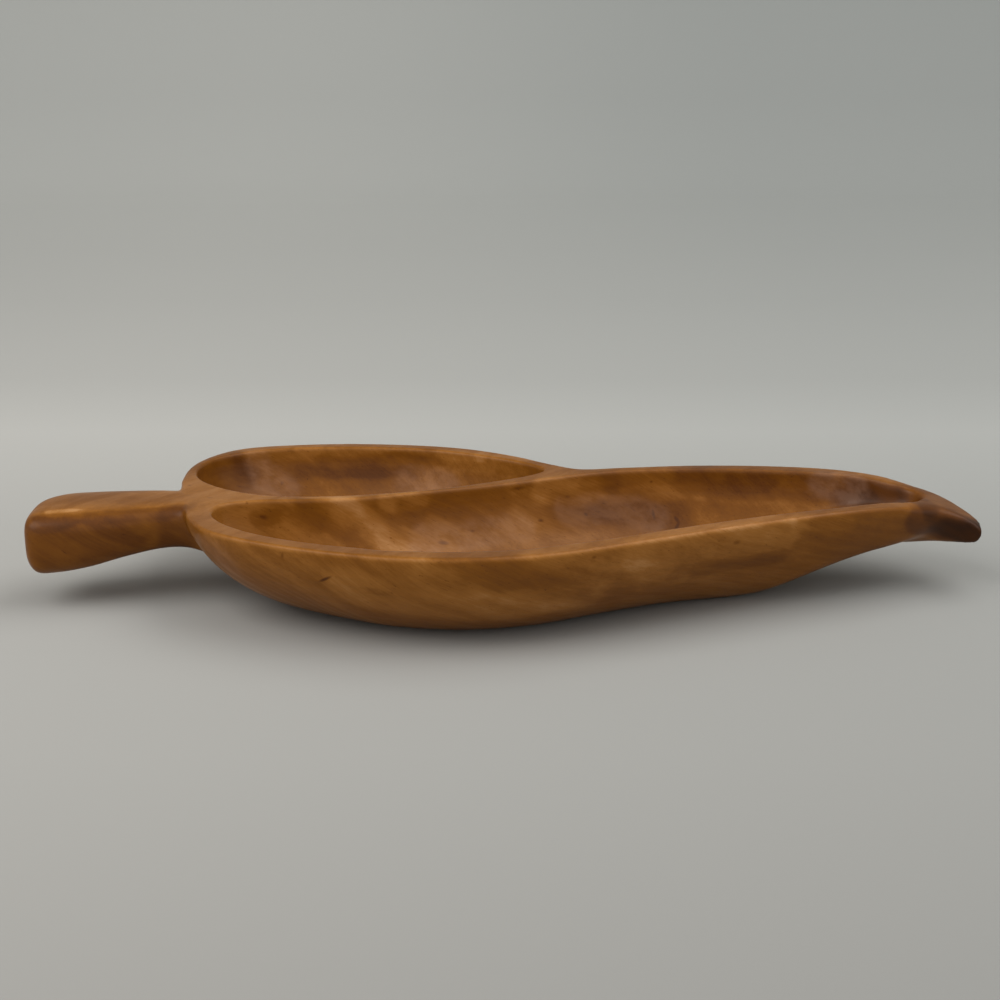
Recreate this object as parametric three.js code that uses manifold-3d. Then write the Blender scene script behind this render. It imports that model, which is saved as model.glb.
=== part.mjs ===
import * as THREE from "three";
import Module from "manifold-3d";

// A leaf-shaped serving tray, carved from one block of wood: an oval hollow and a long crescent
// hollow side by side, a stem handle at one end and a curled leaf tip at the other.
// Lengths are in millimetres and +Z is up. The stem points along -X and the leaf tip along +X.
// The origin is under the middle of the tray, on the surface that the tray stands on.

// Driving dimensions
const rimHeight = 46.5;
const bottomThickness = 10;
const outerEdgeRadius = 1.4;
const innerEdgeRadius = 1.2;
const landWidth = 8;
const tipDroop = 14;
const droopStart = 140;
const tipReach = 225;
const heelX = 125;
const heelSlope = 0.66;
const levelX = 195;
const blendBand = 6;
const outerFullness = 1.65;
const innerFullness = 2;
const handleSquareness = 3.5;
const handleTaper = 0.15;
const tipSquareness = 7;
const tipTaper = 0.75;

// Fineness of the facets
const stepsPerPoint = 5;
const hollowStepsPerPoint = 5;
const wallRings = 9;
const edgeRings = 2;
const sectionSides = 28;
const stepsPerStation = 3;

// Each line of the body starts at the rim and lands on the edge of the flat foot.
// A row is rim x, rim y, foot x, foot y. The rows go round from the stem along the far side.
const bodyLines = [
  [-147, -8, -90, -5],
  [-153.2, 29, -95, 18],
  [-150.2, 64, -92, 38],
  [-133, 89, -81, 51],
  [-98, 99, -60, 56],
  [-58, 99.5, -38, 55],
  [-20, 91.5, -14, 50],
  [8, 75.5, 3, 42],
  [28, 58, 16, 35],
  [40, 50.5, 28, 31],
  [60, 53, 44, 28],
  [100, 57.5, 70, 25],
  [140, 55.5, 90, 21],
  [172, 49.5, 101, 16],
  [192, 44, 106, 11],
  [207, 34, 108, 5],
  [213, 16, 109, 0],
  [209, 2, 109, -2],
  [197, -6, 107, -5],
  [182, -14, 104, -8],
  [166, -22.5, 99, -10],
  [140, -33.5, 90, -12],
  [100, -52, 62, -20],
  [60, -72.5, 36, -33],
  [22, -90, 12, -46],
  [-20, -97, -14, -51.5],
  [-62, -90.5, -42, -47.5],
  [-101, -75, -62, -36],
  [-130, -55, -77, -25],
  [-142, -31, -86, -14],
];

// Each line of a hollow starts at its mouth and lands on the edge of its floor.
// A row is mouth x, mouth y, floor x, floor y.
const farHollowLines = [
  [-148, 50, -100, 46],
  [-141, 71, -97, 52],
  [-120, 86, -88, 56],
  [-80, 92, -68, 58],
  [-35, 87, -36, 55],
  [-8, 75, -18, 52],
  [14, 60, -7, 48],
  [22, 49, -5, 46],
  [16, 40, -7, 43],
  [0, 29, -16, 39],
  [-30, 14, -36, 33],
  [-60, 5, -58, 30],
  [-88, 1, -78, 29],
  [-112, 4, -90, 31],
  [-132, 16, -97, 35],
  [-145, 33, -100, 41],
];
const longHollowLines = [
  [-131, -27, -90, -27],
  [-128, -14, -88, -25],
  [-117, -8, -83, -24],
  [-94, -6, -72, -24],
  [-66, -3, -52, -24],
  [-35, 8, -25, -17],
  [-5, 19, 2, -7],
  [25, 32, 26, 5],
  [47, 42, 44, 14],
  [69, 47, 62, 20],
  [108, 49, 84, 23],
  [147, 44, 100, 22],
  [171, 39, 110, 19],
  [187, 33, 115, 16],
  [198, 28, 117, 13],
  [202, 19, 118, 10],
  [196, 7, 117, 7],
  [181, -3.8, 113, 3],
  [160, -15.5, 106, -3],
  [118, -32, 92, -12],
  [80, -50, 64, -25],
  [44, -68, 34, -41],
  [12, -80, 8, -51],
  [-26, -84, -20, -54],
  [-70, -77, -50, -50],
  [-105, -60.5, -72, -44],
  [-124, -42.5, -86, -34],
];

// Sections of the stem handle, from its blunt end to its root inside the body.
// A row is x, far y, near y, top z, underside z.
const handleSections = [
  [-217.5, -10, -26, 39.5, 25.5],
  [-216, 0, -31, 43.5, 20],
  [-212.5, 9.5, -34, 45.5, 15.9],
  [-204, 17, -34, 46.5, 15.4],
  [-190, 21, -32, 46.5, 17.3],
  [-172, 21.5, -27, 46.5, 21.7],
  [-157, 20.5, -22.5, 46.5, 24.3],
  [-145, 18, -21, 46.5, 24.5],
  [-134, 18, -22, 46.5, 21.5],
];

// Sections of the curled tip, from its root inside the body to its end.
// A row is far x, far y, far top z, near x, near y, near top z, underside z.
const tipSections = [
  [187, 37, 43.8, 177, -8, 44.5, 23],
  [199, 40.5, 42.4, 189, -8.5, 44.3, 20],
  [208.5, 36, 40.5, 200, -5, 42.3, 20.2],
  [216, 28.3, 38.3, 208.5, -2.5, 40.1, 20.7],
  [221.5, 20, 36, 215.5, -2.5, 37.5, 21.5],
  [225, 11.5, 34.5, 220, -3.5, 35.5, 22.8],
  [226.6, 3.5, 33.5, 223.5, -5.5, 33.7, 24.5],
  [226.8, -4, 31.9, 226, -7.5, 31.7, 27.3],
];

// How far the rim has drooped below its level height on its way to the tip
function droopAt(x) {
  const along = Math.max(0, (x - droopStart) / (tipReach - droopStart));
  return tipDroop * along ** 3;
}

// Height of the scooped underside, which climbs from the heel and levels off under the tip
function liftAt(x) {
  const climb = Math.min(x, levelX) - heelX;
  const easing = heelSlope / (2 * (levelX - heelX));
  return heelSlope * climb - easing * Math.max(0, climb) ** 2;
}

// The larger of two heights, rounded where they are close
function softMax(a, b) {
  const closeness = Math.max(blendBand - Math.abs(a - b), 0) / blendBand;
  return Math.max(a, b) + (closeness ** 2 * blendBand) / 4;
}

// Points along a smooth closed curve through the given places
function closedCurve(places, perPoint) {
  const curve = new THREE.CatmullRomCurve3(places, true);
  const count = places.length * perPoint;
  return Array.from({ length: count }, (_, i) => curve.getPoint(i / count));
}

// The same ring moved sideways by a distance, inwards where the distance is positive
function shifted(ring, distance) {
  return ring.map((point, i) => {
    const before = ring.at(i - 1);
    const after = ring[(i + 1) % ring.length];
    const along = after.clone().sub(before).setZ(0).normalize();
    return point.clone().add(new THREE.Vector3(along.y, -along.x, 0).multiplyScalar(distance));
  });
}

// A closed solid from rings of equal length, each a step below or beyond the one before
function solidFromRings(rings, firstCentre, lastCentre) {
  const count = rings[0].length;
  const vertices = [...rings.flat(), firstCentre, lastCentre];
  const first = vertices.length - 2;
  const last = vertices.length - 1;
  const faces = [];
  for (let i = 0; i < count; i++) {
    const j = (i + 1) % count;
    faces.push(first, j, i);
    for (let k = 0; k < rings.length - 1; k++) {
      const a = k * count;
      const b = a + count;
      faces.push(a + i, a + j, b + j);
      faces.push(a + i, b + j, b + i);
    }
    const end = (rings.length - 1) * count;
    faces.push(last, end + i, end + j);
  }
  const vertProperties = new Float32Array(vertices.flatMap((v) => v.toArray()));
  return new wasm.Manifold(new wasm.Mesh({ numProp: 3, vertProperties, triVerts: new Uint32Array(faces) }));
}

function centreOf(ring) {
  const sum = ring.reduce((total, point) => total.add(point), new THREE.Vector3());
  return sum.divideScalar(ring.length);
}

// One ring of a wall that leaves the upper ring steeply and meets the lower ring lying flat.
// A fullness of 2 makes the wall a quarter of an ellipse, and a lower one makes it flatter.
// The ring is lifted clear of the given underside.
function wallRing(upper, lower, angle, fullness, underside) {
  const inward = 1 - Math.cos(angle) ** (2 / fullness);
  const lowered = Math.sin(angle) ** (2 / fullness);
  return upper.map((top, i) => {
    const point = top.clone().lerp(lower[i], inward);
    const height = THREE.MathUtils.lerp(top.z, lower[i].z, lowered);
    return point.setZ(softMax(height, underside(point.x)));
  });
}

// The body: rounded rim edge, curved wall, flat foot
function makeBody() {
  const rim = closedCurve(bodyLines.map(([x, y]) => new THREE.Vector3(x, y, 0)), stepsPerPoint);
  const foot = closedCurve(bodyLines.map((row) => new THREE.Vector3(row[2], row[3], 0)), stepsPerPoint);
  const land = shifted(rim, landWidth);
  const rings = [land.map((point) => point.setZ(rimHeight - droopAt(point.x)))];
  for (let k = 0; k <= edgeRings; k++) {
    const angle = (k / edgeRings) * (Math.PI / 2);
    const ring = shifted(rim, outerEdgeRadius * (1 - Math.sin(angle)));
    const drop = outerEdgeRadius * (1 - Math.cos(angle));
    rings.push(ring.map((point) => point.setZ(rimHeight - droopAt(point.x) - drop)));
  }
  const upper = rings.at(-1);
  for (let k = 1; k <= wallRings; k++) {
    const angle = (k / wallRings) * (Math.PI / 2);
    rings.push(wallRing(upper, foot, angle, outerFullness, liftAt));
  }
  const topCentre = new THREE.Vector3(60, -10, rimHeight);
  return solidFromRings(rings, topCentre, centreOf(foot));
}

// The space of one hollow, open upwards, with a flared mouth that rounds the inner edge of the rim
function makeHollow(lines) {
  const mouth = closedCurve(lines.map(([x, y]) => new THREE.Vector3(x, y, 0)), hollowStepsPerPoint);
  const floorPlaces = lines.map((row) => new THREE.Vector3(row[2], row[3], bottomThickness));
  const floor = closedCurve(floorPlaces, hollowStepsPerPoint);
  const rings = [];
  const flared = shifted(mouth, -innerEdgeRadius);
  rings.push(flared.map((point) => point.clone().setZ(rimHeight + 2 * innerEdgeRadius)));
  for (let k = 0; k <= edgeRings; k++) {
    const angle = (k / edgeRings) * (Math.PI / 2);
    const ring = shifted(mouth, innerEdgeRadius * (Math.sin(angle) - 1));
    const drop = innerEdgeRadius * (1 - Math.cos(angle));
    rings.push(ring.map((point) => point.setZ(rimHeight - droopAt(point.x) - drop)));
  }
  const upper = rings.at(-1);
  const floorUnder = (x) => liftAt(x) + bottomThickness;
  for (let k = 1; k <= wallRings; k++) {
    const angle = (k / wallRings) * (Math.PI / 2);
    rings.push(wallRing(upper, floor, angle, innerFullness, floorUnder));
  }
  return solidFromRings(rings, centreOf(rings[0]), centreOf(floor));
}

// A limb swept through its sections. Each section is a rounded oblong between a far and a near edge.
// The taper is the share of its width that it has lost at the underside.
function makeLimb(sections, squareness, taper) {
  const far = new THREE.CatmullRomCurve3(sections.map((section) => section.far));
  const near = new THREE.CatmullRomCurve3(sections.map((section) => section.near));
  const below = new THREE.CatmullRomCurve3(sections.map((section) => section.below));
  const steps = (sections.length - 1) * stepsPerStation;
  const rings = [];
  for (let k = 0; k <= steps; k++) {
    const farEdge = far.getPoint(k / steps);
    const nearEdge = near.getPoint(k / steps);
    const underside = below.getPoint(k / steps).z;
    const ring = [];
    for (let i = 0; i < sectionSides; i++) {
      const angle = (i / sectionSides) * 2 * Math.PI;
      const across = Math.sign(Math.cos(angle)) * Math.abs(Math.cos(angle)) ** (2 / squareness);
      const up = Math.sign(Math.sin(angle)) * Math.abs(Math.sin(angle)) ** (2 / squareness);
      const narrowing = 1 - (taper * (1 - up)) / 2;
      const point = nearEdge.clone().lerp(farEdge, (1 + across * narrowing) / 2);
      ring.push(point.setZ(THREE.MathUtils.lerp(underside, point.z, (1 + up) / 2)));
    }
    rings.push(ring);
  }
  return solidFromRings(rings, centreOf(rings[0]), centreOf(rings.at(-1)));
}

function makeHandle() {
  const sections = handleSections.map(([x, farY, nearY, top, underside]) => ({
    far: new THREE.Vector3(x, farY, top),
    near: new THREE.Vector3(x, nearY, top),
    below: new THREE.Vector3(x, nearY, underside),
  }));
  return makeLimb(sections, handleSquareness, handleTaper);
}

function makeTip() {
  const sections = tipSections.map(([farX, farY, farZ, nearX, nearY, nearZ, underside]) => ({
    far: new THREE.Vector3(farX, farY, farZ),
    near: new THREE.Vector3(nearX, nearY, nearZ),
    below: new THREE.Vector3(nearX, nearY, underside),
  }));
  return makeLimb(sections, tipSquareness, tipTaper);
}

function geometryOf(solid) {
  const mesh = solid.getMesh();
  const geometry = new THREE.BufferGeometry();
  geometry.setAttribute("position", new THREE.Float32BufferAttribute(mesh.vertProperties, mesh.numProp));
  geometry.setIndex(Array.from(mesh.triVerts));
  geometry.computeVertexNormals();
  return geometry;
}

const wasm = await Module();
wasm.setup();

const wood = new THREE.MeshStandardMaterial({ color: 0x93683c, roughness: 0.4, metalness: 0 });

const block = makeBody().add(makeHandle()).add(makeTip());
const carved = block.subtract(makeHollow(farHollowLines)).subtract(makeHollow(longHollowLines));

const geometry = geometryOf(carved);
geometry.computeBoundingBox();
const middle = geometry.boundingBox.getCenter(new THREE.Vector3());
geometry.translate(-middle.x, -middle.y, 0);

const tray = new THREE.Mesh(geometry, wood);
tray.name = "carved_tray";

const group = new THREE.Group();
group.add(tray);

export default group;
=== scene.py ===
# %% [markdown]
# # A leaf tray, carved from one block
#
# The tray is a dish shaped like a leaf. An oval hollow and a long curved hollow lie side by side,
# with a thin divider between them, a blunt stem to hold it by and a curled tip.
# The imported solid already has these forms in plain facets. This lesson models the same block again
# with a finer skin and gives it the look of oiled, hand-rubbed wood.
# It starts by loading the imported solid, which gives the size and place that everything has to keep.

# %% Load the solid
import math

import bmesh
import bpy
import numpy as np
from mathutils import Matrix, Vector, geometry, noise
from mathutils.bvhtree import BVHTree


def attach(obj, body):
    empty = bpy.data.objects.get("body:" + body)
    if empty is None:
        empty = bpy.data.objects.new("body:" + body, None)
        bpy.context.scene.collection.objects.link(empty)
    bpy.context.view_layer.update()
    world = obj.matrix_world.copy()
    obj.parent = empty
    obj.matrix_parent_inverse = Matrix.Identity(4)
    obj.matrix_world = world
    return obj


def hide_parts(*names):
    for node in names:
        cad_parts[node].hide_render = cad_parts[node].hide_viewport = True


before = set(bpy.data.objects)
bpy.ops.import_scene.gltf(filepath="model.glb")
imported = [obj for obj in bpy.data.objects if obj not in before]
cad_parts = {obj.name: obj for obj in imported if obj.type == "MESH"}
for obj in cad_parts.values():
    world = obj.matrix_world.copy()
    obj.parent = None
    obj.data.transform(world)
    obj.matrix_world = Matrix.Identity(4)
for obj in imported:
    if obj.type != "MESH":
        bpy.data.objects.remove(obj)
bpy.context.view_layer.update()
mm = 0.001

# %% [markdown]
# ## The camera
#
# The tray is seen from a little above, along its broad side. A long lens from about a metre away
# keeps the far rim nearly as large as the near one. The aim point is a little behind the middle of
# the tray and above it, so the tray lies in the lower half of the picture.

# %% Camera
camera_tilt = math.radians(16)
camera_distance = 0.977
aim = Vector((-4.2, 30.2, 35.6)) * mm
sensor_width = 36.0
picture_side = 1000
focal_pixels = 2012

camera_data = bpy.data.cameras.new("camera")
camera_data.sensor_width = sensor_width
camera_data.lens = sensor_width * focal_pixels / picture_side
camera = bpy.data.objects.new("camera", camera_data)
back = Vector((0, -math.cos(camera_tilt), math.sin(camera_tilt)))
camera.location = aim + back * camera_distance
camera.rotation_euler = (-back).to_track_quat("-Z", "Y").to_euler()
bpy.context.scene.collection.objects.link(camera)
bpy.context.scene.camera = camera
print("lens, millimetres:", round(camera_data.lens, 1))

# %% [markdown]
# ## Smooth lines through a few points
#
# A carver draws the leaf freehand on the block. Here each outline is a few points, and a curve runs
# smoothly through them. A Bezier curve with suitable handles does that: where the points crowd
# together the handles get shorter, which stops the curve from overshooting in tight bends.

# %% Smooth line
def smooth_line(places, steps, closed=True):
    """Points along a smooth curve through the places, with so many steps between two of them."""
    places = [Vector(p) for p in places]
    count = len(places)
    spans = count if closed else count - 1
    line = []
    for i in range(spans):
        a, b = places[i], places[(i + 1) % count]
        before = places[i - 1] if closed or i > 0 else 2 * a - b
        after = places[(i + 2) % count] if closed or i + 2 < count else 2 * b - a
        d0, d1, d2 = ((q - p).length for p, q in ((before, a), (a, b), (b, after)))
        r0, r1, r2 = math.sqrt(d0), math.sqrt(d1), math.sqrt(d2)
        leave = (d0 * b - d1 * before + (2 * d0 + 3 * r0 * r1 + d1) * a) / (3 * r0 * (r0 + r1))
        arrive = (d2 * a - d1 * after + (2 * d2 + 3 * r2 * r1 + d1) * b) / (3 * r2 * (r2 + r1))
        line += geometry.interpolate_bezier(a, leave, arrive, b, steps + 1)[:-1]
    return line if closed else line + [places[-1]]


# %% [markdown]
# ## From rings to a solid
#
# The body, the hollows, the stem and the tip are all stacks of rings. Each ring starts as a loop of
# edges. Bridging one loop to the next lays a band of faces between them, and a fan of faces closes
# each end. Bridging is quicker than drawing faces by hand, and it keeps the rings' even spacing.

# %% Solid from rings
def add_ring(bm, points):
    """A closed loop of vertices and edges, returned as its edges."""
    corners = [bm.verts.new(p) for p in points]
    return [bm.edges.new((corners[i - 1], corner)) for i, corner in enumerate(corners)]


def close_end(bm, ring, centre):
    """Closes a ring with a fan of faces to a point."""
    fan = bmesh.ops.extrude_edge_only(bm, edges=ring)["geom"]
    corners = [item for item in fan if isinstance(item, bmesh.types.BMVert)]
    bmesh.ops.pointmerge(bm, verts=corners, merge_co=centre)


def solid_from_rings(name, rings, first_centre, last_centre):
    """A closed object whose skin runs over the rings in turn."""
    bm = bmesh.new()
    loops = [add_ring(bm, points) for points in rings]
    close_end(bm, loops[0], first_centre)
    close_end(bm, loops[-1], last_centre)
    for upper, lower in zip(loops, loops[1:]):
        bmesh.ops.bridge_loops(bm, edges=upper + lower)
    bmesh.ops.recalc_face_normals(bm, faces=bm.faces)
    mesh = bpy.data.meshes.new(name)
    bm.to_mesh(mesh)
    open_edges = sum(not edge.is_manifold for edge in bm.edges)
    print(f"{name}: {len(bm.faces)} faces, {open_edges} open edges, {bm.calc_volume() / 1000:.0f} cm3")
    bm.free()
    thing = bpy.data.objects.new(name, mesh)
    bpy.context.scene.collection.objects.link(thing)
    return thing


def centre_of(ring):
    """The middle of a ring's points."""
    return sum(ring, Vector()) / len(ring)


# %% [markdown]
# ## The shape of a wall
#
# The outside of the body drops steeply from the rim and swings under to the flat foot, and each
# hollow drops from its mouth and swings out to its floor. Both are a quarter of a swelled ellipse
# between an upper and a lower ring. Towards the tip the rim droops and the underside is scooped
# away, so every wall is also kept above the scooped underside, with a soft change between the two.

# %% Wall shape
rim_height = 46.5
bottom_thickness = 10
tip_droop, droop_start, tip_reach = 14, 140, 225
heel_x, heel_slope, level_x = 125, 0.66, 195
blend_band = 6


def droop_at(x):
    """How far the rim has drooped on its way to the tip."""
    return tip_droop * max(0, (x - droop_start) / (tip_reach - droop_start)) ** 3


def lift_at(x):
    """Height of the scooped underside, which climbs from the heel and levels off."""
    climb = min(x, level_x) - heel_x
    easing = heel_slope / (2 * (level_x - heel_x))
    return heel_slope * climb - easing * max(0, climb) ** 2


def soft_max(a, b):
    """The larger of two heights, rounded where they are close."""
    closeness = max(blend_band - abs(a - b), 0) / blend_band
    return max(a, b) + closeness**2 * blend_band / 4


def wall_rings(upper, lower, fullness, underside, count):
    """Rings that leave the upper ring steeply and come in flat at the lower one."""
    rings = []
    for k in range(1, count + 1):
        angle = math.pi / 2 * k / count
        inward = 1 - abs(math.cos(angle)) ** (2 / fullness)
        lowered = math.sin(angle) ** (2 / fullness)
        ring = [high.lerp(low, inward) for high, low in zip(upper, lower)]
        for point, high, low in zip(ring, upper, lower):
            height = high.z + (low.z - high.z) * lowered
            point.z = soft_max(height, underside(point.x))
        rings.append(ring)
    return rings


def moved_inwards(ring, distance):
    """The ring moved sideways, towards its own inside."""
    moved = []
    for i, point in enumerate(ring):
        along = ring[(i + 1) % len(ring)] - ring[i - 1]
        side = Vector((along.y, -along.x, 0)).normalized()
        moved.append(point + side * distance)
    return moved


def rounded_edge(line, radius, outwards):
    """Rings that round the top edge of the line, ending at its steep side."""
    rings = []
    for k in range(edge_rings + 1):
        angle = math.pi / 2 * k / edge_rings
        ring = moved_inwards(line, outwards * radius * (1 - math.sin(angle)))
        for point in ring:
            point.z = rim_height - droop_at(point.x) - radius * (1 - math.cos(angle))
        rings.append(ring)
    return rings


edge_rings = 5
wall_count = 16
steps_per_point = 8

# %% [markdown]
# ## The body
#
# Each row of numbers is one line down the wall: where it leaves the rim and where it lands on the
# foot, as x and y in millimetres. The rows go round the leaf from the stem along the far side.
# The row pairs let the wall lean out more at the stem end than at the notch between the two lobes.

# %% Body
body_lines = [
    (-147, -8, -90, -5), (-153.2, 29, -95, 18), (-150.2, 64, -92, 38), (-133, 89, -81, 51),
    (-98, 99, -60, 56), (-58, 99.5, -38, 55), (-20, 91.5, -14, 50), (8, 75.5, 3, 42),
    (28, 58, 16, 35), (40, 50.5, 28, 31), (60, 53, 44, 28), (100, 57.5, 70, 25),
    (140, 55.5, 90, 21), (172, 49.5, 101, 16), (192, 44, 106, 11), (207, 34, 108, 5),
    (213, 16, 109, 0), (209, 2, 109, -2), (197, -6, 107, -5), (182, -14, 104, -8),
    (166, -22.5, 99, -10), (140, -33.5, 90, -12), (100, -52, 62, -20), (60, -72.5, 36, -33),
    (22, -90, 12, -46), (-20, -97, -14, -51.5), (-62, -90.5, -42, -47.5), (-101, -75, -62, -36),
    (-130, -55, -77, -25), (-142, -31, -86, -14),
]
outer_edge_radius, outer_fullness, land_width = 1.4, 1.65, 8
top_centre = Vector((60, -10, rim_height))

rim_line = smooth_line([(row[0], row[1], 0) for row in body_lines], steps_per_point)
foot_line = smooth_line([(row[2], row[3], 0) for row in body_lines], steps_per_point)
land = moved_inwards(rim_line, land_width)
for point in land:
    point.z = rim_height - droop_at(point.x)
edge = rounded_edge(rim_line, outer_edge_radius, 1)
wall = wall_rings(edge[-1], foot_line, outer_fullness, lift_at, wall_count)
body = solid_from_rings("body", [land] + edge + wall, top_centre, centre_of(foot_line))

# %% [markdown]
# ## The two hollows
#
# A gouge takes out the hollows. Each one is modelled as the wood that it removes: a solid with the
# hollow's floor and walls, whose mouth flares where the inner edge of the rim is rubbed round.

# %% Hollows
far_hollow_lines = [
    (-148, 50, -100, 46), (-141, 71, -97, 52), (-120, 86, -88, 56), (-80, 92, -68, 58),
    (-35, 87, -36, 55), (-8, 75, -18, 52), (14, 60, -7, 48), (22, 49, -5, 46),
    (16, 40, -7, 43), (0, 29, -16, 39), (-30, 14, -36, 33), (-60, 5, -58, 30),
    (-88, 1, -78, 29), (-112, 4, -90, 31), (-132, 16, -97, 35), (-145, 33, -100, 41),
]
long_hollow_lines = [
    (-131, -27, -90, -27), (-128, -14, -88, -25), (-117, -8, -83, -24), (-94, -6, -72, -24),
    (-66, -3, -52, -24), (-35, 8, -25, -17), (-5, 19, 2, -7), (25, 32, 26, 5),
    (47, 42, 44, 14), (69, 47, 62, 20), (108, 49, 84, 23), (147, 44, 100, 22),
    (171, 39, 110, 19), (187, 33, 115, 16), (198, 28, 117, 13), (202, 19, 118, 10),
    (196, 7, 117, 7), (181, -3.8, 113, 3), (160, -15.5, 106, -3), (118, -32, 92, -12),
    (80, -50, 64, -25), (44, -68, 34, -41), (12, -80, 8, -51), (-26, -84, -20, -54),
    (-70, -77, -50, -50), (-105, -60.5, -72, -44), (-124, -42.5, -86, -34),
]
inner_edge_radius, inner_fullness = 1.2, 2


def hollow(name, lines):
    """The wood that a gouge takes out of one hollow."""
    mouth = smooth_line([(row[0], row[1], 0) for row in lines], steps_per_point)
    floor = smooth_line([(row[2], row[3], bottom_thickness) for row in lines], steps_per_point)
    lid = moved_inwards(mouth, -inner_edge_radius)
    for point in lid:
        point.z = rim_height + 2 * inner_edge_radius
    edge = rounded_edge(mouth, inner_edge_radius, -1)
    wall = wall_rings(edge[-1], floor, inner_fullness, lambda x: lift_at(x) + bottom_thickness, wall_count)
    return solid_from_rings(name, [lid] + edge + wall, centre_of(lid), centre_of(floor))


far_hollow = hollow("far_hollow", far_hollow_lines)
long_hollow = hollow("long_hollow", long_hollow_lines)

# %% [markdown]
# ## The stem and the tip
#
# Both are limbs that grow out of the body. A limb is a row of rounded oblongs, each set between a
# far edge, a near edge and an underside. Its roots start inside the body, so that the two join
# along a line that can be rubbed smooth later.

# %% Stem and tip
stem_sections = [
    (-217.5, -10, 39.5, -217.5, -26, 39.5, 25.5), (-216, 0, 43.5, -216, -31, 43.5, 20),
    (-212.5, 9.5, 45.5, -212.5, -34, 45.5, 15.9), (-204, 17, 46.5, -204, -34, 46.5, 15.4),
    (-190, 21, 46.5, -190, -32, 46.5, 17.3), (-172, 21.5, 46.5, -172, -27, 46.5, 21.7),
    (-157, 20.5, 46.5, -157, -22.5, 46.5, 24.3), (-145, 18, 46.5, -145, -21, 46.5, 24.5),
    (-134, 18, 46.5, -134, -22, 46.5, 21.5),
]
tip_sections = [
    (187, 37, 43.8, 177, -8, 44.5, 23), (199, 40.5, 42.4, 189, -8.5, 44.3, 20),
    (208.5, 36, 40.5, 200, -5, 42.3, 20.2), (216, 28.3, 38.3, 208.5, -2.5, 40.1, 20.7),
    (221.5, 20, 36, 215.5, -2.5, 37.5, 21.5), (225, 11.5, 34.5, 220, -3.5, 35.5, 22.8),
    (226.6, 3.5, 33.5, 223.5, -5.5, 33.7, 24.5), (226.8, -4, 31.9, 226, -7.5, 31.7, 27.3),
]
section_sides = 48
steps_per_section = 8


def squared(value, squareness):
    """A sine or cosine pushed outwards, which turns a circle into a rounded oblong."""
    return math.copysign(abs(value) ** (2 / squareness), value)


def limb(name, sections, squareness, taper):
    """A limb that runs through its sections and has lost a share of its width at the underside."""
    far = smooth_line([s[0:3] for s in sections], steps_per_section, closed=False)
    near = smooth_line([s[3:6] for s in sections], steps_per_section, closed=False)
    below = smooth_line([(s[3], s[4], s[6]) for s in sections], steps_per_section, closed=False)
    rings = []
    for far_edge, near_edge, under in zip(far, near, below):
        ring = []
        for i in range(section_sides):
            angle = 2 * math.pi * i / section_sides
            across = squared(math.cos(angle), squareness)
            up = squared(math.sin(angle), squareness)
            narrowing = 1 - taper * (1 - up) / 2
            point = near_edge.lerp(far_edge, (1 + across * narrowing) / 2)
            point.z = under.z + (point.z - under.z) * (1 + up) / 2
            ring.append(point)
        rings.append(ring)
    return solid_from_rings(name, rings, centre_of(rings[0]), centre_of(rings[-1]))


stem = limb("stem", stem_sections, 3.5, 0.15)
tip = limb("tip", tip_sections, 7, 0.75)

# %% [markdown]
# ## One block
#
# On the real tray there is no joint anywhere, because it is all one piece of wood. Boolean modifiers
# add the stem and the tip to the body and take out the hollows. A voxel remesh then gives the block
# one even skin, which can be rubbed smooth where the parts meet, as a carver rubs it with sandpaper.

# %% Join and carve
def boolean(thing, other, operation):
    """Adds the other solid to the thing, or takes it away, and removes the other."""
    modifier = thing.modifiers.new(operation.lower(), "BOOLEAN")
    modifier.object, modifier.operation, modifier.solver = other, operation, "EXACT"
    apply_modifiers(thing)
    bpy.data.objects.remove(other)


def apply_modifiers(thing):
    """Makes the modifiers' result the thing's own mesh."""
    graph = bpy.context.evaluated_depsgraph_get()
    made = bpy.data.meshes.new_from_object(thing.evaluated_get(graph))
    thing.modifiers.clear()
    thing.data = made


boolean(body, stem, "UNION")
boolean(body, tip, "UNION")
boolean(body, far_hollow, "DIFFERENCE")
boolean(body, long_hollow, "DIFFERENCE")
print("carved block:", len(body.data.polygons), "faces")

# %% [markdown]
# The drawing's numbers count from a point near the middle of the leaf. The middle of the block's box
# is measured now, so that the finished block can be moved over the origin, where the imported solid
# stands. The remesh then lays the new skin, with a step of three quarters of a millimetre.

# %% Place and remesh
corners = np.array([v.co for v in body.data.vertices])
drawing_middle = (corners.min(0) + corners.max(0)) / 2
drawing_middle[2] = 0
voxel = 0.75

remesh = body.modifiers.new("even skin", "REMESH")
remesh.mode, remesh.voxel_size, remesh.use_smooth_shade = "VOXEL", voxel, True
apply_modifiers(body)
print("drawing middle, millimetres:", drawing_middle.round(2), "faces:", len(body.data.polygons))

# %% [markdown]
# ## Rubbing down
#
# A few light passes of smoothing take the steps of the voxels away all over. Some places are rubbed
# longer: the corners where the stem and the tip leave the body, which turn into soft coves, the near
# edge on top of the stem, the end of the tip, and the middle of the near rim, whose inner edge has
# worn round. Each place is a point, a radius and a number of passes. The vertex weights fade out
# towards the radius, so that no ring shows there. After that the block is moved to its place and
# turned into metres. The fine skin has far more faces than the flat parts need, so a decimate
# modifier thins it and keeps the edges crisp.

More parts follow.
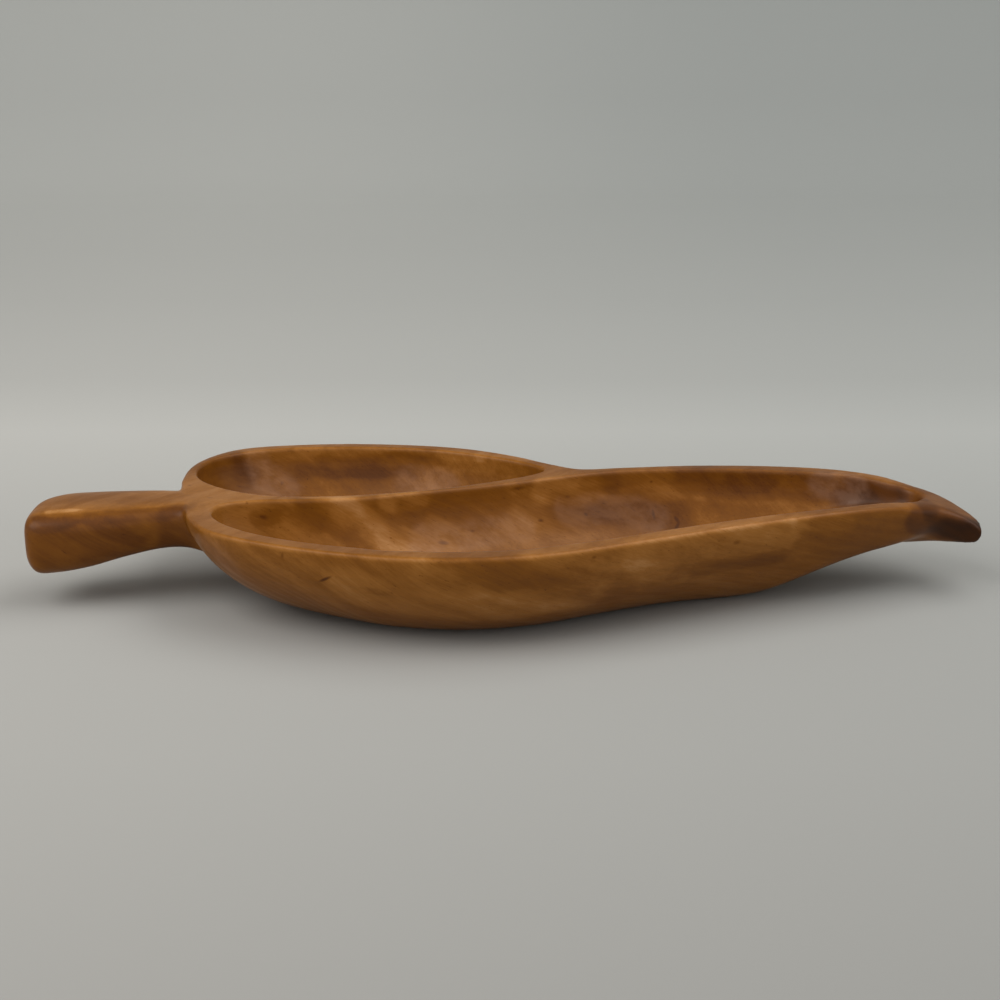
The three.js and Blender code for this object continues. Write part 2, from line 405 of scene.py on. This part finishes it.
# %% Rub smooth
all_over_passes, rub_strength, rub_fade = 3, 0.5, 1.5
rubbed_stem = [
    ((-156, 20, 35.5), 13, 90), ((-149, -24, 31.5), 15, 160), ((-149, 0, 22.5), 20, 120),
    ((-150, -25, 45.5), 12, 70), ((-162, -24, 46.5), 12, 70), ((-176, -28, 46.5), 12, 70),
    ((-190, -32, 46.5), 10, 40),
]
rubbed_tip = [
    ((205, 5, 27.5), 17, 160), ((200, -5, 30), 20, 260), ((207, 0, 30), 14, 160),
    ((201, 20, 20.5), 16, 120), ((204, 32, 29.5), 12, 60), ((192, 32, 43.5), 12, 60),
    ((202, 22, 42.5), 12, 60), ((229, -8, 29.5), 10, 60),
]
rubbed_rim = [((-46, -84, 45.5), 16, 60), ((-20, -84, 45.5), 16, 60), ((6, -82, 45.5), 16, 60)]
most_triangles = 190_000


def rub(thing, passes, weights=None):
    """Smooths the whole thing, or each point by its weight."""
    modifier = thing.modifiers.new("rub", "SMOOTH")
    modifier.factor, modifier.iterations = rub_strength, passes
    if weights is not None:
        group = thing.vertex_groups.new(name="rubbed")
        for i in np.flatnonzero(weights):
            group.add([int(i)], float(weights[i]), "REPLACE")
        modifier.vertex_group = group.name


def points_of(mesh):
    """The mesh's points as rows of x, y and z."""
    flat = np.empty(len(mesh.vertices) * 3)
    mesh.vertices.foreach_get("co", flat)
    return flat.reshape(-1, 3)


def triangles_in(mesh):
    """How many triangles the mesh's faces come to."""
    return sum(len(face.vertices) - 2 for face in mesh.polygons)


skin_points = points_of(body.data)
rub(body, all_over_passes)
for place, radius, passes in rubbed_stem + rubbed_tip + rubbed_rim:
    distance = np.linalg.norm(skin_points - np.array(place), axis=1)
    rub(body, passes, np.clip(rub_fade - rub_fade * distance / radius, 0, 1))
apply_modifiers(body)
body.vertex_groups.clear()
fine_triangles = triangles_in(body.data)

tray_mesh = body.data.copy()
tray_mesh.name = "leaf_tray"
tray_mesh.transform(Matrix.Scale(mm, 4) @ Matrix.Translation(-Vector(drawing_middle)))
bpy.data.objects.remove(body)
tray = bpy.data.objects.new("leaf_tray", tray_mesh)
bpy.context.scene.collection.objects.link(tray)

thinning = tray.modifiers.new("thinning", "DECIMATE")
thinning.ratio = min(1, most_triangles / fine_triangles)
apply_modifiers(tray)
tray_mesh = tray.data
tray_mesh.shade_smooth()
print("triangles:", fine_triangles, "before thinning,", triangles_in(tray_mesh), "after")
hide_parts("carved_tray")
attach(tray, "root")

# %% [markdown]
# ## Painting the figure of the wood, and some light and shade
#
# The wood has darker and lighter places of its own: clouds, and bands that the carver's gouge has
# cut across. Some strokes paint light and shade as well: painted shade on the tip and on parts of the
# stem, painted highlights on edges, painted light low on the near wall and a painted reflection in
# the far hollow. A brush stroke here is a line of points in millimetres, a radius and an amount. Every
# point of the mesh takes up the strokes that it lies under, and the sums are stored on the mesh,
# where the material can read them. A little noise makes the strokes' edges wander. Its seed is set,
# or the edges would wander in another way each time the script runs.

# %% Brush
places = points_of(tray_mesh) / mm
wander, wander_size, wander_seed = 3, 16, 1
noise.seed_set(wander_seed)
wandering = [tuple(noise.noise_vector(Vector(p) / wander_size)) for p in places]
wandered = places + wander * np.array(wandering)


def covered(line, radius):
    """How much a stroke covers each point: fully up to half its radius, then fading to nothing.

    The edges of broad strokes wander. Thin strokes stay where they are drawn.
    """
    line = np.array(line, float)
    where = wandered if radius > wander else places
    distance = np.full(len(where), np.inf)
    for start, end in zip(line, line[1:]):
        step = end - start
        along = np.clip((where - start) @ step / (step @ step), 0, 1)
        distance = np.minimum(distance, np.linalg.norm(where - start - along[:, None] * step, axis=1))
    nearness = np.clip(2 - 2 * distance / radius, 0, 1)
    return nearness**2 * (3 - 2 * nearness)


def painted(name, strokes):
    """Stores the sum of the strokes on the mesh under a name."""
    total = sum(amount * covered(line, radius) for line, radius, amount in strokes)
    layer = tray_mesh.attributes.new(name, "FLOAT", "POINT")
    layer.data.foreach_set("value", total.astype(np.float32))
    print(f"{name}: {len(strokes)} strokes, {total.min():.2f} to {total.max():.2f}")


# %% [markdown]
# ### Dark and light strokes
#
# The amount counts in stops: minus one halves the brightness of the wood, plus one doubles it.
# The strokes are kept by place, so that one place can be worked on without touching the others.
# In each list the broad figure comes first, and smaller strokes after it add to it or weaken it.

# %% Far hollow strokes
far_hollow_strokes = [
    ([(-151, 55, 39.5), (-147, 66, 39.5), (-140, 74, 35.5)], 15, -0.35),
    ([(-137, 79, 42.5), (-131, 80, 36.5)], 7, -0.35),
    # This lighter stroke is part of a painted reflection in the gloss at the hollow's left end.
    ([(-129, 83, 41.5), (-127, 82, 33.5), (-118, 80, 29.5)], 9, 0.3),
    ([(-109, 87, 34.5), (-86, 88, 34.5), (-60, 87, 34.5)], 6, -0.3),
    ([(-93, 90, 40.5), (-68, 90, 40.5), (-45, 86, 41.5)], 5, -0.15),
    ([(-42, 84, 32.5), (-28, 79, 31.5)], 9, 0.2),
    ([(-2, 69, 41.5), (14, 58, 42.5)], 8, -0.25),
    ([(-97, 89, 40.5), (-66, 89, 41.1), (-35, 83, 41)], 3.5, -0.25),
    ([(-107, 87, 34.8), (-76, 88, 33.4), (-45, 85, 35.3)], 4, -0.3),
    ([(-134, 78, 36.7), (-117, 83, 31), (-91, 86, 29.2), (-71, 87, 31.1)], 11, -0.3),
    ([(-107, 89, 44.4), (-76, 90, 44.6), (-35, 84, 44.7), (-14, 74, 45.1)], 4, 0.35),
    ([(-35, 83, 40), (-9, 71, 41.2)], 6, 0.25),
]
print(len(far_hollow_strokes), "strokes in the far hollow")

# %% Long hollow strokes
long_hollow_strokes = [
    ([(-136, -18, 42.5), (-125, -11, 41.5)], 13, 0.15),
    ([(-117, -9, 39), (-112, -9, 38)], 5, -0.45),
    ([(-104, -8, 43.5), (-92, -8, 39.5)], 11, -0.3),
    ([(-93, -7, 42.5), (-80, -8, 36.5), (-68, -10, 27.5)], 9, -0.3),
    ([(-84, -6, 45.5), (-72, -6, 38.5), (-59, -6, 29.5), (-48, -8, 23.5)], 9, 0.4),
    ([(-62, -2, 42.5), (-52, 0, 35.5)], 12, -0.25),
    ([(-49, 2, 40.5), (-43, 3, 34.5)], 6, -0.35),
    ([(-34, 8, 43.5), (-19, 12, 40.5), (-8, 15, 37.5)], 14, -0.35),
    ([(-45, -3, 25.5), (-20, 5, 25.5), (5, 15, 26.5)], 14, 0.25),
    ([(26, 32, 30.5), (50, 38, 30.5), (72, 41, 26.5), (83, 40, 24.5)], 13, -0.35),
    ([(38, 42, 42.5), (49, 45, 40.5)], 8, -0.35),
    ([(90, 48, 42.5), (115, 48, 41.5), (140, 44, 40.5), (152, 42, 39.5)], 12, -0.65),
    ([(100, 44, 26.5), (130, 39, 26.5)], 5, -0.2),
    ([(170, 34, 38.5), (188, 28, 37.5)], 8, -0.45),
    ([(18, 29, 41), (40, 39, 37.3)], 10, 0.65),
    ([(-56, 0, 44.3), (-42, 5, 43.7)], 8, 0.5),
    ([(-81, -6, 44.6), (-70, -5, 37), (-58, -4, 29.2)], 4.5, 0.2),
    ([(-97, -8, 44), (-86, -7, 36.7), (-74, -8, 29)], 6, -0.15),
    ([(-63, -3, 37.4), (-49, -1, 29.2), (-35, 1, 22.7)], 7, -0.2),
    ([(45, 37, 27.4), (65, 41, 25.4), (84, 42, 24.1)], 9, -0.2),
    ([(50, 41, 34.5), (94, 46, 35.1)], 6, 0.35),
    ([(162, 36, 33.8), (174, 33, 35.3)], 6, -0.5),
    ([(112, 46, 41.2), (129, 44, 40.8)], 6, -0.4),
]
print(len(long_hollow_strokes), "strokes in the long hollow")

# %% Near wall strokes
near_wall_strokes = [
    ([(-22, -98, 41.5), (0, -95, 36.5), (25, -86, 29.5), (48, -72, 20.5)], 15, -0.3),
    ([(10, -94, 45.5), (36, -80, 37.5), (62, -64, 29.5)], 10, 0.2),
    ([(70, -65, 32.5), (94, -51, 28.5), (118, -39, 23.5)], 14, -0.15),
    ([(-36, -97, 40.4), (-23, -96, 34.1), (-13, -93, 30.1)], 9, 0.15),
    ([(40, -73, 24.1), (62, -61, 23.8), (76, -54, 24.4)], 8, 0.25),
    ([(150, -29, 37.5), (175, -17, 32.5)], 20, -0.3),
    ([(-61, -89, 28.5), (-52, -91, 26.5), (-45, -92, 23.5)], 3, -0.35),
    # This stroke is painted light: the lower part of the near wall is lightened, as light thrown up from
    # the pale floor would do.
    ([(-69, -86, 29.5), (-47, -88, 23.6), (-21, -88, 21), (4, -84, 21.1), (31, -75, 21.1)], 15, 0.45),
    ([(-55, -94, 41.2), (-30, -97, 38.6)], 10, 0.15),
    ([(57, -73, 39.7), (84, -58, 39.8), (122, -39, 37.7)], 12, 0.35),
    ([(76, -56, 26.4), (100, -44, 26.5), (123, -34, 27)], 6, -0.35),
    ([(39, -78, 32.4), (57, -68, 30.4)], 9, 0.15),
    ([(132, -37, 43), (154, -27, 40.6)], 8, 0.3),
]
print(len(near_wall_strokes), "strokes on the near wall")

# %% Tip and stem strokes
# All strokes on the tip are painted shade: its near face turns down and away from the light, and its
# drooping top and end are darker.
tip_shade_strokes = [
    ([(206, -3, 27), (214, -3, 25), (224, -6, 27)], 13, -1.2),
    ([(226, -6, 31.5), (230, -8, 25.5)], 9, -0.7),
    ([(196, 24, 43), (205, 14, 42), (222, 2, 36.5)], 13, -0.5),
    ([(167, 37, 39.3), (185, 30, 37.3), (196, 1, 42.1)], 9, -0.7),
    ([(191, -7, 36.2), (206, 1, 31.3), (216, -2, 29.3)], 10, -1.1),
    ([(198, -2, 41.4), (212, -3, 36.3)], 8, -0.5),
]
stem_strokes = [
    ([(-212, -34, 29.5), (-185, -30, 29.5), (-158, -22, 32.5)], 19, -0.45),
    # Painted shade: a thin dark line where the stem's side turns down below its top edge.
    ([(-214, -30, 43.5), (-198, -30, 42.5)], 4, -0.4),
    ([(-197, -27, 45.5), (-182, -28, 42.5), (-169, -24, 39.5)], 6, 0.3),
    ([(-190, -30, 42.5), (-180, -30, 37.5), (-170, -27, 31.5)], 6, -0.35),
    ([(-213, -35, 32.5), (-203, -33, 28.5)], 8, 0.2),
    # Painted shade in the cove where the stem meets the body.
    ([(-153, -21, 42.5), (-151, -21, 33.5), (-155, -19, 27.5)], 11, -0.55),
    # Painted shade along the stem's near top edge, where the top turns down into the side.
    ([(-217, -32, 42.5), (-200, -30, 43.4), (-183, -27, 43.4), (-165, -21, 44.1), (-152, -17, 45.3)],
     5.5, -0.5),
    ([(-198, -4, 46.5), (-177, -6, 46.5), (-158, -4, 46.5)], 10, -0.3),
    ([(-211, -34, 32.3), (-191, -31, 32.2), (-174, -26, 33.6)], 12, -0.35),
    # A thin painted highlight on the stem's near top edge at its end.
    ([(-211, -25, 45.7), (-205, -24, 45.9), (-199, -22, 45.9)], 2.5, 0.7),
]
print(len(tip_shade_strokes), "strokes on the tip,", len(stem_strokes), "on the stem")

# %% [markdown]
# ### The painted highlight on the near rim
#
# One last thin stroke follows the outer edge of the near rim and paints a highlight along it, where
# the rounded edge catches the light. It runs along the rim line of the body, from one row of the
# body's lines to another, so that it stays on the edge if the leaf is drawn differently.

# %% Edge highlight
highlight_from, highlight_to = 21, 28
highlight_radius, highlight_amount = 1.6, 0.25
edge_highlight = [
    point - Vector(drawing_middle) + Vector((0, 0, rim_height - droop_at(point.x) - outer_edge_radius / 2))
    for point in rim_line[highlight_from * steps_per_point : highlight_to * steps_per_point]
]
hollow_strokes = far_hollow_strokes + long_hollow_strokes
outside_strokes = near_wall_strokes + tip_shade_strokes + stem_strokes + [(edge_highlight, highlight_radius, highlight_amount)]
# The sum holds the wood's figure together with painted shade, painted highlights, painted light and a
# painted reflection.
painted("stops", hollow_strokes + outside_strokes)

# %% [markdown]
# ### Painted reflection
#
# In a few places a pale greyish pink is mixed into the wood. It paints the soft reflection of a pale
# surrounding in the gloss, so the wood looks greyer and a little pink there. The amount is the share
# of that colour.

# %% Painted reflection
painted_reflection = [
    ([(-128, 82, 40.5), (-126, 81, 32.5), (-114, 81, 28.5)], 9, 0.14),
    ([(-52, 85, 31.5), (-30, 80, 31.5)], 8, 0.12),
    ([(-40, -1, 24.5), (-20, 5, 25.5), (5, 16, 26.5)], 10, 0.14),
    ([(28, 32, 29.5), (50, 38, 28.5), (72, 40, 24.5)], 10, 0.1),
    ([(152, 40, 41.5), (168, 36, 39.5)], 9, 0.16),
    ([(-140, -40, 35.5), (-129, -57, 31.5)], 14, 0.08),
]
painted("painted_reflection", painted_reflection)

# %% [markdown]
# ## The grain
#
# The grain of a plank runs in layers. Here they lean: they dip towards the tip and rise towards the
# back, so they come out as slanting bands on the walls. A mapping of the Texture kind turns the
# pattern first and then stretches it, so its scale reads as the length of a feature along the
# fibres, across them and through the layers.

# %% Grain direction
fibre = Vector((0.84, 0.23, -0.49)).normalized()
through = Vector((0.55, -0.35, 0.75))
through = (through - fibre * through.dot(fibre)).normalized()
across = through.cross(fibre)
grain_turn = Matrix((fibre, across, through)).transposed().to_euler()
print("grain turned by, degrees:", [round(math.degrees(a)) for a in grain_turn])

wood = bpy.data.materials.new("oiled_wood")
wood.use_nodes = True
nodes, links = wood.node_tree.nodes, wood.node_tree.links
shader = nodes["Principled BSDF"]
coordinates = nodes.new("ShaderNodeTexCoord").outputs["Object"]


def node(kind, **settings):
    """A new node with its settings made: inputs by name, the rest as properties."""
    new = nodes.new("ShaderNode" + kind)
    for name, value in settings.items():
        if name in new.inputs:
            plug(value, new.inputs[name])
        else:
            setattr(new, name, value)
    return new


def plug(value, socket):
    """Links an output to the socket, or sets the socket to a value."""
    if isinstance(value, bpy.types.NodeSocket):
        links.new(value, socket)
    else:
        socket.default_value = value


def sums(operation, *values):
    """A calculation on numbers or outputs."""
    new = node("Math", operation=operation)
    for value, socket in zip(values, new.inputs):
        plug(value, socket)
    return new.outputs[0]


def grained(size, detail, roughness, source):
    """Noise stretched along the fibres, with its size along, across and through the layers."""
    turned = node("Mapping", vector_type="TEXTURE", Rotation=grain_turn, Vector=source)
    turned.inputs["Scale"].default_value = Vector(size) * mm
    made = node("TexNoise", Vector=turned.outputs[0], Scale=1.0, Detail=detail, Roughness=roughness)
    return made.outputs["Fac"]


def between(value, low, high, start=0.0, end=1.0):
    """The value's run from low to high, spread smoothly from start to end."""
    new = node("MapRange", interpolation_type="SMOOTHSTEP")
    names = ("Value", "From Min", "From Max", "To Min", "To Max")
    for name, number in zip(names, (value, low, high, start, end)):
        plug(number, new.inputs[name])
    return new.outputs[0]


# %% [markdown]
# ### Bands, fibres and pores
#
# The same stretched noise makes the wood at several sizes: broad bands of summer and winter growth,
# narrower streaks, fine fibres, soft mottles, and pores, which are cut vessels and show as short dark
# dashes. A slow noise bends the layers first, or the bands would be as straight as plywood. Each size
# is a length along the fibres, across them and through the layers, in millimetres.

# %% Bands, fibres and pores
bend_size, bend_amount = 70, 14
noise_middle = 0.5
slow = node("TexNoise", Vector=coordinates, Scale=1 / (bend_size * mm), Detail=1.0)
centred = node("VectorMath", operation="SUBTRACT")
plug(slow.outputs["Color"], centred.inputs[0])
centred.inputs[1].default_value = Vector((1, 1, 1)) * noise_middle
bending = node("VectorMath", operation="MULTIPLY_ADD")
plug(centred.outputs[0], bending.inputs[0])
bending.inputs[1].default_value = Vector((1, 1, 1)) * bend_amount * mm
plug(coordinates, bending.inputs[2])
bent = bending.outputs[0]

bands = grained(size=(200, 80, 24), detail=2.0, roughness=0.45, source=bent)
streaks = grained(size=(110, 18, 4), detail=2.0, roughness=0.5, source=bent)
fibres = grained(size=(20, 1.4, 0.7), detail=2.0, roughness=0.6, source=bent)
mottles = grained(size=(9, 5, 5), detail=3.0, roughness=0.6, source=bent)
dashes = grained(size=(3.5, 0.45, 0.45), detail=0.0, roughness=0.5, source=bent)
pore_edge, pore_heart = 0.76, 0.82
pores = between(dashes, pore_edge, pore_heart)

# %% [markdown]
# ### Marks
#
# A few marks are too small for the brush: a knot, a crack and single open pores. Each one is a soft
# ball, drawn out from a start to an end and set on the skin. The numbers are the two ends, the
# thickness in millimetres, and the amount in stops again.

# %% Marks
mark_heart = 0.9
skin = BVHTree.FromObject(tray, bpy.context.evaluated_depsgraph_get())


def mark(start, end, thickness, amount):
    """One mark as an output in stops: the amount in its middle, nothing outside."""
    start, end = (skin.find_nearest(Vector(p) * mm)[0] for p in (start, end))
    run = end - start
    size = Vector((run.length / 2 + thickness * mm, thickness * mm, thickness * mm))
    placed = node("Mapping", vector_type="TEXTURE", Vector=coordinates)
    plug((start + end) / 2, placed.inputs["Location"])
    plug(run.to_track_quat("X", "Z").to_euler(), placed.inputs["Rotation"])
    plug(size, placed.inputs["Scale"])
    ball = node("TexGradient", gradient_type="SPHERICAL", Vector=placed.outputs[0])
    return between(ball.outputs["Fac"], 0.0, mark_heart, 0.0, amount)


marks = [
    ((-83, -83, 30.5), (-77, -87, 34.5), 1.1, -1.7), ((-116, -9, 39), (-113, -9, 38), 1.7, -0.8),
    ((-141, -4, 46.5), (-139, -4, 46.5), 1.2, -0.6), ((-153, 17, 46.5), (-152, 18, 46.5), 1.0, -0.8),
    ((-116, 84, 29.5), (-116, 83, 28.5), 1.0, -0.7), ((-98, -80, 43.5), (-98, -79, 41.5), 1.0, -0.6),
    ((38, 33, 28), (39, 33, 27.5), 1.1, -0.9), ((15, 23, 27.5), (17, 23, 27.5), 1.1, -0.9),
    ((-33, 1, 23.5), (-28, 1, 23.5), 1.5, -0.9), ((-18, 9, 26.5), (-16, 9, 26.5), 0.9, -0.8),
    ((1, 22, 43.5), (8, 25, 43.5), 1.3, -0.8), ((28, 33, 36.5), (30, 33, 36.5), 1.2, -0.5),
    ((71, 42, 28), (72, 38.5, 23.5), 1.1, -1.0), ((82, 40, 24.5), (84, 38, 22.5), 1.3, -0.8),
    ((84, 38, 22.5), (82, 36, 19.5), 1.3, -0.9), ((70, 46, 40.5), (70.5, 46, 40.5), 0.9, -0.8),
    ((101, -50.5, 38.5), (103, -49.5, 38.5), 1.6, -0.5), ((36, -84, 42.5), (37, -84, 42.5), 1.1, -0.6),
]
marked = 0.0
for numbers in marks:
    marked = sums("ADD", marked, mark(*numbers))
print(len(marks), "marks")

# %% [markdown]
# ### Colour
#
# The wood has one palette, from nearly black through red brown and orange brown to tan. A colour's
# place on it goes with its brightness in stops, so everything that darkens or lightens the wood is
# summed up in stops and then looked up on the palette. Noise hardly ever leaves its middle part, so
# that part alone is spread over the whole range of a band or a fibre.

# %% Colour
palette = [
    (0.00, (0.020, 0.0070, 0.0030)), (0.30, (0.050, 0.0155, 0.0028)), (0.55, (0.107, 0.0330, 0.0035)),
    (0.75, (0.197, 0.0680, 0.0060)), (0.88, (0.300, 0.1180, 0.0200)), (1.00, (0.430, 0.2050, 0.0680)),
]
palette_stops, middle_wood = 4.4, 0.78
band_stops, streak_stops, fibre_stops, mottle_stops, pore_stops = 0.25, 0.12, 0.09, 0.08, -0.6
noise_low, noise_high = 0.3, 0.7
reflection_colour = (0.42, 0.25, 0.17, 1)
reflection_high, reflection_thin, reflection_thick = 0.65, 0.4, 1.3

stops = node("Attribute", attribute_name="stops").outputs["Fac"]


def in_stops(pattern, most):
    """The pattern as darker and lighter wood, up to so many stops either way."""
    return between(pattern, noise_low, noise_high, -most, most)


growth = sums("ADD", in_stops(bands, band_stops), in_stops(streaks, streak_stops))
fine = sums("ADD", in_stops(fibres, fibre_stops), in_stops(mottles, mottle_stops))
spots = sums("ADD", sums("MULTIPLY", pores, pore_stops), marked)
all_stops = sums("ADD", sums("ADD", stops, growth), sums("ADD", fine, spots))
lookup = sums("MULTIPLY_ADD", all_stops, 1 / palette_stops, middle_wood)
wood_colour = node("ValToRGB", Fac=lookup)
steps = wood_colour.color_ramp.elements
steps[0].position, steps[0].color = palette[0][0], (*palette[0][1], 1)
steps[1].position, steps[1].color = palette[-1][0], (*palette[-1][1], 1)
for position, colour in palette[1:-1]:
    steps.new(position).color = (*colour, 1)

# The painted reflection mixes a pale greyish pink into the wood's colour, broken up by the mottles.
reflection_share = node("Attribute", attribute_name="painted_reflection").outputs["Fac"]
broken_reflection = sums("MULTIPLY", reflection_share, between(mottles, noise_low, reflection_high, reflection_thin, reflection_thick))
wood_and_reflection = node("MixRGB", Fac=broken_reflection, Color1=wood_colour.outputs["Color"], Color2=reflection_colour)
plug(wood_and_reflection.outputs[0], shader.inputs["Base Color"])

# %% [markdown]
# ### Gloss and touch
#
# The oil leaves a satin gloss. The open fibres keep it uneven: a little rougher on the dark streaks
# than on the light ones. The fibres and pores can also be felt, as a very shallow bump.

# %% Gloss and touch
dark_roughness, light_roughness = 0.40, 0.30
gloss = {"IOR": 1.45, "Specular IOR Level": 0.16, "Coat Weight": 0.05, "Coat Roughness": 0.2}
fibre_relief, relief_strength, relief_depth = 0.5, 0.35, 0.05

plug(between(streaks, noise_low, noise_high, dark_roughness, light_roughness), shader.inputs["Roughness"])
for name, value in gloss.items():
    shader.inputs[name].default_value = value
relief = sums("SUBTRACT", sums("MULTIPLY", fibres, fibre_relief), pores)
bump = node("Bump", Height=relief, Strength=relief_strength, Distance=relief_depth * mm)
plug(bump.outputs[0], shader.inputs["Normal"])
tray.data.materials.append(wood)
print("wood:", len(nodes), "nodes")

# %% [markdown]
# ## Floor and backdrop
#
# A photographer's sweep is one pale sheet. It lies flat under the tray and curves up behind it, so
# that no horizon shows. It curves up far enough away to leave room for a look at the tray's back.
# The profile is a flat edge, a quarter turn made by the spin operator, and an upright part, drawn
# out sideways.

# %% Sweep
sweep_width, sweep_front, sweep_bend, sweep_radius, sweep_height = 18.0, -4.0, 1.4, 0.5, 8.0
bend_faces = 32

bm = bmesh.new()
left, right = (bm.verts.new((x, sweep_front, 0)) for x in (-sweep_width / 2, sweep_width / 2))
front_edge = bm.edges.new((left, right))


def drawn_out(edges, move):
    """The edges extruded by a move, returned as the new edges."""
    made = bmesh.ops.extrude_edge_only(bm, edges=edges)["geom"]
    bmesh.ops.translate(bm, verts=[v for v in made if isinstance(v, bmesh.types.BMVert)], vec=move)
    return [e for e in made if isinstance(e, bmesh.types.BMEdge)]


back_edge = drawn_out([front_edge], (0, sweep_bend - sweep_front, 0))
bend_centre = (0, sweep_bend, sweep_radius)
turned = bmesh.ops.spin(
    bm, geom=back_edge, cent=bend_centre, axis=(1, 0, 0), angle=math.pi / 2, steps=bend_faces
)
top_edge = [e for e in turned["geom_last"] if isinstance(e, bmesh.types.BMEdge)]
drawn_out(top_edge, (0, 0, sweep_height))
bmesh.ops.recalc_face_normals(bm, faces=bm.faces)
for face in bm.faces:
    face.smooth = True
sweep_mesh = bpy.data.meshes.new("sweep")
bm.to_mesh(sweep_mesh)
bm.free()
sweep = bpy.data.objects.new("sweep", sweep_mesh)
bpy.context.scene.collection.objects.link(sweep)

# %% [markdown]
# ### Paper
# The sheet's grey is painted light: it is palest just behind the tray and where it starts to curve
# up, and a little greyer towards the front, the top and the right, which is painted shade. It is a
# touch warmer in front. Its own coordinates tell the material where on the sheet a point lies. Each
# pair of numbers is a distance behind the tray's middle, in metres, and the painted grey there. The
# helpers from the wood now work on these nodes.

# %% Paper
# Painted light and shade on the sheet: its grey from front to back.
painted_light_by_depth = [
    (-0.50, 0.303), (-0.37, 0.332), (-0.20, 0.366), (0.10, 0.392), (0.31, 0.463), (0.37, 0.447),
    (0.46, 0.423), (0.77, 0.424), (1.03, 0.444), (1.40, 0.490), (1.59, 0.441), (1.69, 0.415),
    (1.90, 0.407),
]
paper_roughness = 0.9
warm_tint, cool_tint = (1.0, 0.965, 0.895), (0.99, 1.0, 0.94)
left_x, right_x = -0.35, 0.35
left_light, right_shade = (1.0, 1.0, 1.0), (0.83, 0.85, 0.86)

paper = bpy.data.materials.new("pale_paper")
paper.use_nodes = True
nodes, links = paper.node_tree.nodes, paper.node_tree.links
paper_shader = nodes["Principled BSDF"]
on_sheet = node("SeparateXYZ", Vector=nodes.new("ShaderNodeTexCoord").outputs["Object"]).outputs
first_y, last_y = painted_light_by_depth[0][0], painted_light_by_depth[-1][0]
depth = node("MapRange")
for name, number in zip(("Value", "From Min", "From Max"), (on_sheet["Y"], first_y, last_y)):
    plug(number, depth.inputs[name])
painted_paleness = node("ValToRGB", Fac=depth.outputs[0])
steps = painted_paleness.color_ramp.elements
for step, (y, grey) in zip(steps, (painted_light_by_depth[0], painted_light_by_depth[-1])):
    step.color = (grey, grey, grey, 1)
for y, grey in painted_light_by_depth[1:-1]:
    steps.new((y - first_y) / (last_y - first_y)).color = (grey, grey, grey, 1)
warmth = node("MixRGB", Fac=depth.outputs[0], Color1=(*warm_tint, 1), Color2=(*cool_tint, 1))
# Painted shade: the sheet turns greyer towards the right.
light_across = node("MixRGB", Fac=between(on_sheet["X"], left_x, right_x))
plug((*left_light, 1), light_across.inputs["Color1"])
plug((*right_shade, 1), light_across.inputs["Color2"])
tinted = painted_paleness.outputs["Color"]
for tint in (warmth, light_across):
    mixed = node("MixRGB", blend_type="MULTIPLY", Fac=1.0, Color1=tinted, Color2=tint.outputs[0])
    tinted = mixed.outputs[0]
plug(tinted, paper_shader.inputs["Base Color"])
paper_shader.inputs["Roughness"].default_value = paper_roughness
sweep_mesh.materials.append(paper)
print("sweep:", len(sweep_mesh.polygons), "faces")

# %% [markdown]
# ## Light
#
# Most of the light comes evenly from all round, as in a white room. It reaches in under the stem and
# the tip, so that their shadows stay soft. Two large lamps add a little direction: one in front at
# the left, which lights the near wall, and one above at the right, which lights the long hollow.
# A lamp's numbers are its place and its size in metres, and its power in watts.

# %% Light
room_brightness = 0.85
scene = bpy.context.scene
scene.view_settings.view_transform = "Standard"
world = bpy.data.worlds.new("room")
scene.world = world
world.use_nodes = True
world.node_tree.nodes["Background"].inputs["Color"].default_value = (1, 1, 1, 1)
world.node_tree.nodes["Background"].inputs["Strength"].default_value = room_brightness


def soft_lamp(name, place, size, watts):
    """A rectangular lamp that shines at the middle of the floor."""
    lamp_data = bpy.data.lights.new(name, "AREA")
    lamp_data.shape = "RECTANGLE"
    lamp_data.size, lamp_data.size_y = size
    lamp_data.energy = watts
    lamp = bpy.data.objects.new(name, lamp_data)
    lamp.location = place
    lamp.rotation_euler = lamp.location.to_track_quat("Z", "Y").to_euler()
    scene.collection.objects.link(lamp)


soft_lamp("left", place=(-0.9, -0.55, 1.1), size=(1.2, 1.0), watts=9)
soft_lamp("right", place=(0.6, 0.1, 1.2), size=(1.6, 0.8), watts=8)
